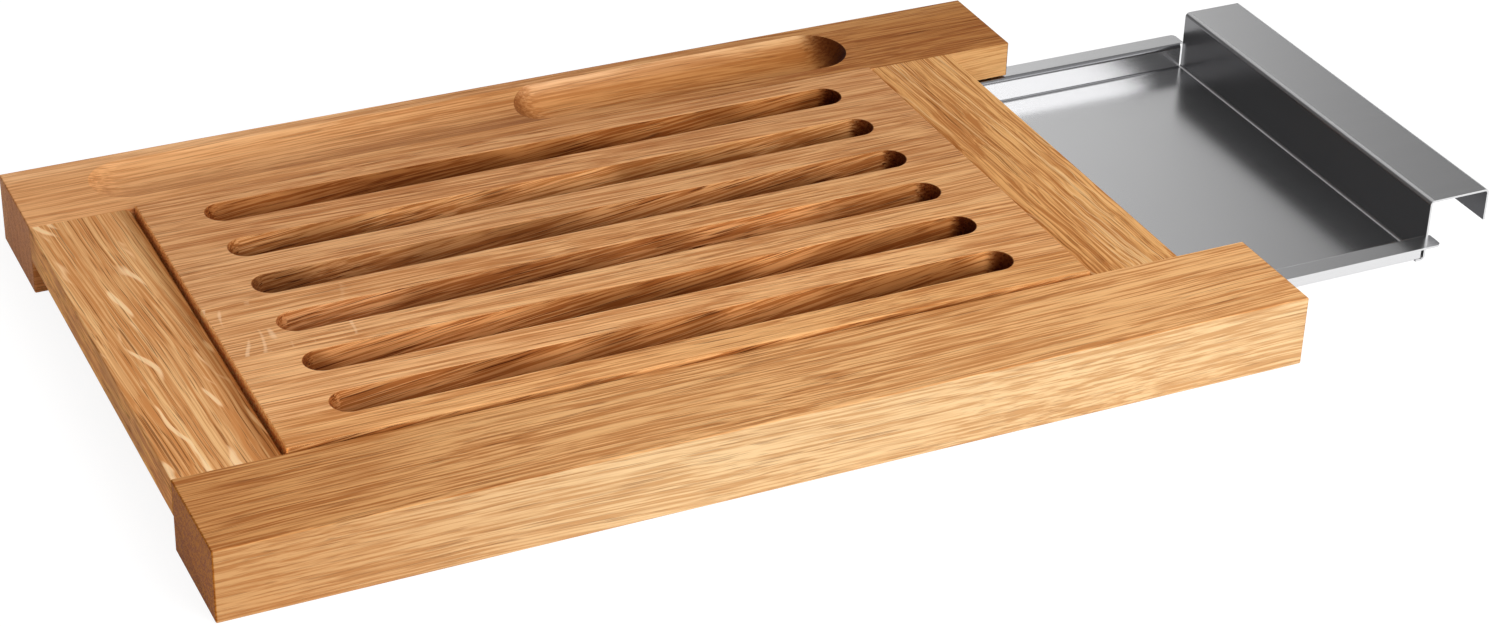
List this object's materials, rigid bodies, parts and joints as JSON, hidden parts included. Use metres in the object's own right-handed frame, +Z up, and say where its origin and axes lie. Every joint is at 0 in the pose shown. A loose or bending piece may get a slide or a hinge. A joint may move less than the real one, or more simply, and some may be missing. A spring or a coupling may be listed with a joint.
{
  "type": "bread cutting board",
  "caption": "Oak bread board: slotted lift-out panel in a frame with a knife recess, over a folded steel crumb tray that slides out of one end.",
  "frame": {"origin": "middle of the whole footprint, with the tray pulled out as stored, on the surface that the board stands on", "axes": "+X along the board towards the tray's handle, +Y from the front beam to the rear beam with the knife recess, +Z up"},
  "size_m": [0.637, 0.326, 0.036],
  "materials": {
    "oak": "oiled oak, satin",
    "dowel_wood": "plain beech",
    "steel": "brushed stainless sheet"
  },
  "bodies": {
    "frame": {"front_beam": "oak", "rear_beam": "oak", "left_cross_rail": "oak", "right_cross_rail": "oak", "front_left_dowels": "dowel_wood", "rear_left_dowels": "dowel_wood", "front_right_dowels": "dowel_wood", "rear_right_dowels": "dowel_wood"},
    "panel": {"panel_stave_1": "oak", "panel_stave_2": "oak", "panel_stave_3": "oak", "panel_stave_4": "oak", "panel_stave_5": "oak"},
    "tray": {"crumb_tray": "steel"}
  },
  "joints": [
    {"name": "panel_lift", "type": "slide", "parent": "frame", "child": "panel", "axis": [0, 0, 1], "range_m": [0, 0.03]},
    {"name": "tray_slide", "type": "slide", "parent": "frame", "child": "tray", "axis": [1, 0, 0], "range_m": [-0.137, 0.22]}
  ]
}
